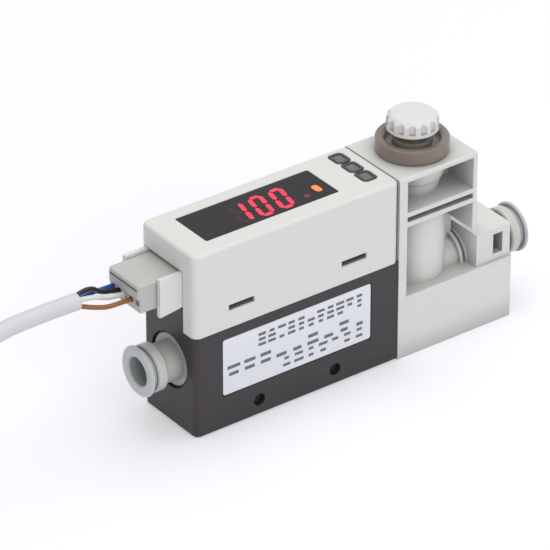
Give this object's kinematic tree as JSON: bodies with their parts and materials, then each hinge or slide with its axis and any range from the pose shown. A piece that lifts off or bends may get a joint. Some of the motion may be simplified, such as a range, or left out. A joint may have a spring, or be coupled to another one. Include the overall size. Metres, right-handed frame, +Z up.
{
  "type": "digital flow switch",
  "caption": "Inline gas flow switch with a display, set keys, push-in tube fittings, a throttle valve with a fluted knob, and a plugged lead.",
  "frame": {"origin": "under the middle of the overall length and width, on the surface that the switch stands on", "axes": "+X along the flow from the inlet to the outlet, +Y away from the labelled side, +Z up to the display"},
  "size_m": [0.2189, 0.0375, 0.0501],
  "materials": {
    "black_housing": "fine spark-eroded texture",
    "white_housing": "satin moulded",
    "white_block": "satin moulded",
    "window": "polished dark smoked",
    "keys": "fine matte",
    "label": "satin foil",
    "fitting": "satin moulded",
    "release": "satin moulded",
    "knob": "satin moulded",
    "smoked_ring": "polished smoked",
    "steel": "stamped",
    "brass": "turned",
    "contact_metal": "tin over brass",
    "seal_rubber": "moulded",
    "board": "solder mask",
    "component": "moulded",
    "shroud": "natural nylon",
    "plug": "natural nylon",
    "sheath": "satin vinyl",
    "core_brown_vinyl": "satin vinyl",
    "core_white_vinyl": "satin vinyl",
    "core_black_vinyl": "satin vinyl",
    "core_blue_vinyl": "satin vinyl"
  },
  "bodies": {
    "root": {"lower_body": "black_housing", "upper_housing": "white_housing", "display_window": "window", "circuit_board": "board", "display_module": "component", "tact_switches": "component", "socket_header": "shroud", "header_pins": "contact_metal", "side_label": "label", "sensor_seal": "seal_rubber", "flow_sensor": "component", "flow_mesh": "steel", "valve_block": "white_block", "joint_seal": "seal_rubber", "block_screws": "steel", "valve_bonnet": "brass", "bonnet_o_ring": "seal_rubber", "plug_housing": "plug", "plug_contacts": "contact_metal", "cable_run": "sheath", "cable_hank": "sheath", "core_brown": "core_brown_vinyl", "core_white": "core_white_vinyl", "core_black": "core_black_vinyl", "core_blue": "core_blue_vinyl", "end_cores": "core_brown_vinyl", "inlet_fitting": "fitting", "inlet_collet": "steel", "inlet_seal": "seal_rubber", "inlet_o_ring": "seal_rubber", "inlet_clip": "steel", "outlet_fitting": "fitting", "outlet_collet": "steel", "outlet_seal": "seal_rubber", "outlet_o_ring": "seal_rubber", "outlet_clip": "steel"},
    "needle": {"needle_stem": "brass", "stem_o_ring": "seal_rubber"},
    "knob": {"adjust_knob": "knob"},
    "ring": {"lock_ring": "smoked_ring"},
    "down_key": {"down_button": "keys"},
    "up_key": {"up_button": "keys"},
    "set_key": {"set_button": "keys"},
    "inlet_release": {"inlet_release_button": "release"},
    "outlet_release": {"outlet_release_button": "release"}
  },
  "joints": [
    {"name": "needle_lift", "type": "slide", "parent": "root", "child": "needle", "axis": [0, 0, 1], "range_m": [-0.0013, 0.0017]},
    {"name": "knob_turn", "type": "hinge", "parent": "needle", "child": "knob", "pos_m": [0.02035, 0, 0.0463], "axis": [0, 0, 1], "range_deg": [-937, 1225]},
    {"name": "ring_turn", "type": "hinge", "parent": "root", "child": "ring", "pos_m": [0.02035, 0, 0.0416], "axis": [0, 0, 1], "range_deg": [0, 90]},
    {"name": "down_key_press", "type": "slide", "parent": "root", "child": "down_key", "axis": [0, 0, -1], "range_m": [0, 0.0004], "stiffness_N_per_m": 300, "springref_m": -0.0005},
    {"name": "up_key_press", "type": "slide", "parent": "root", "child": "up_key", "axis": [0, 0, -1], "range_m": [0, 0.0004], "stiffness_N_per_m": 300, "springref_m": -0.0005},
    {"name": "set_key_press", "type": "slide", "parent": "root", "child": "set_key", "axis": [0, 0, -1], "range_m": [0, 0.0004], "stiffness_N_per_m": 300, "springref_m": -0.0005},
    {"name": "inlet_release_push", "type": "slide", "parent": "root", "child": "inlet_release", "axis": [1, 0, 0], "range_m": [0, 0.0008], "stiffness_N_per_m": 500, "springref_m": -0.001},
    {"name": "outlet_release_push", "type": "slide", "parent": "root", "child": "outlet_release", "axis": [-1, 0, 0], "range_m": [0, 0.0008], "stiffness_N_per_m": 500, "springref_m": -0.001}
  ],
  "couplings": [
    {"joint": "knob_turn", "follows": "needle_lift", "rad_per_m": 12566}
  ]
}
